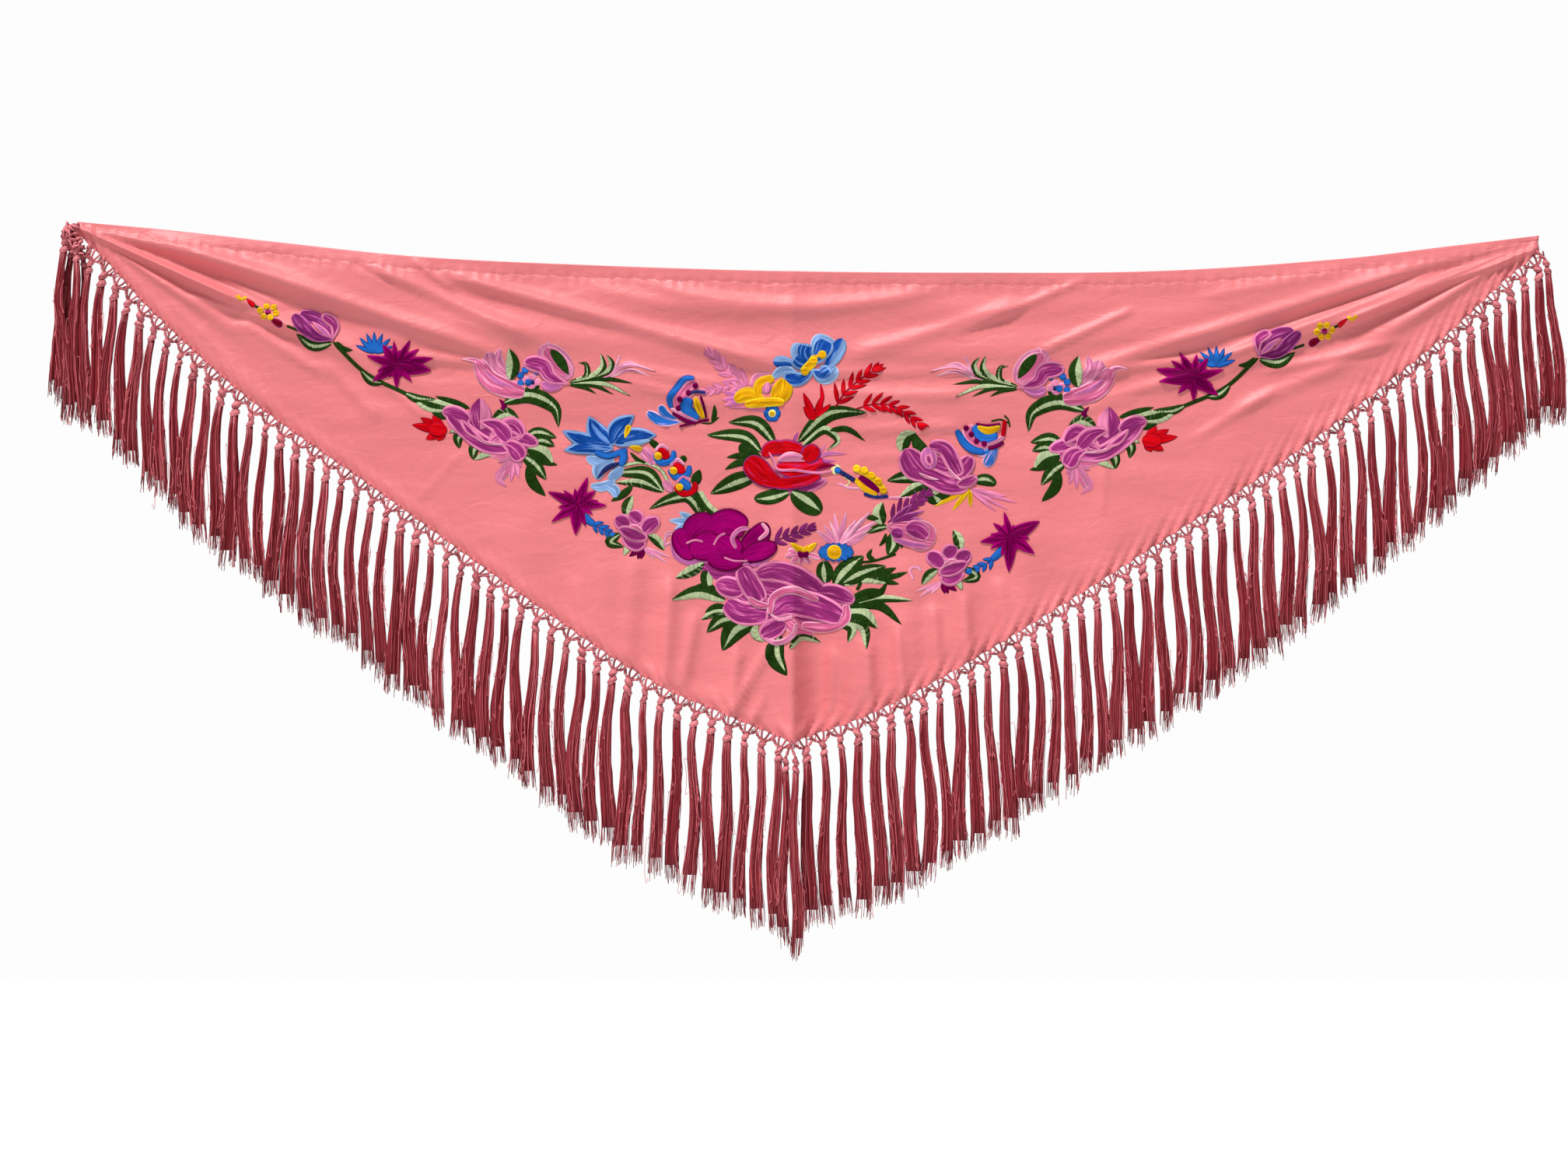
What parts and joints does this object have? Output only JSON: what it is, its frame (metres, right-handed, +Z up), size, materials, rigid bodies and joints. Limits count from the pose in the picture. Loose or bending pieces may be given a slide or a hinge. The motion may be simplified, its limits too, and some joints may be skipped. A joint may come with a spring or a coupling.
{
  "type": "flamenco shawl",
  "caption": "Triangular embroidered flamenco shawl of salmon crepe with a netted, tasselled fringe, hanging by the two ends of its long edge.",
  "frame": {"origin": "the right end of the long top edge, seen from the front, where the shawl is held", "axes": "+X to the right along the long edge seen from the front, -Y out of the embroidered front, +Z up"},
  "size_m": [1.7601, 0.034, 0.8528],
  "materials": {
    "cloth": "soft crepe",
    "fringe": "glossy rayon thread",
    "thread": "satin embroidery thread"
  },
  "bodies": {
    "root": {"cloth_panel": "cloth", "top_hem": "cloth", "left_hem": "cloth", "right_hem": "cloth", "left_fringe": "fringe", "right_fringe": "fringe"}
  },
  "joints": []
}
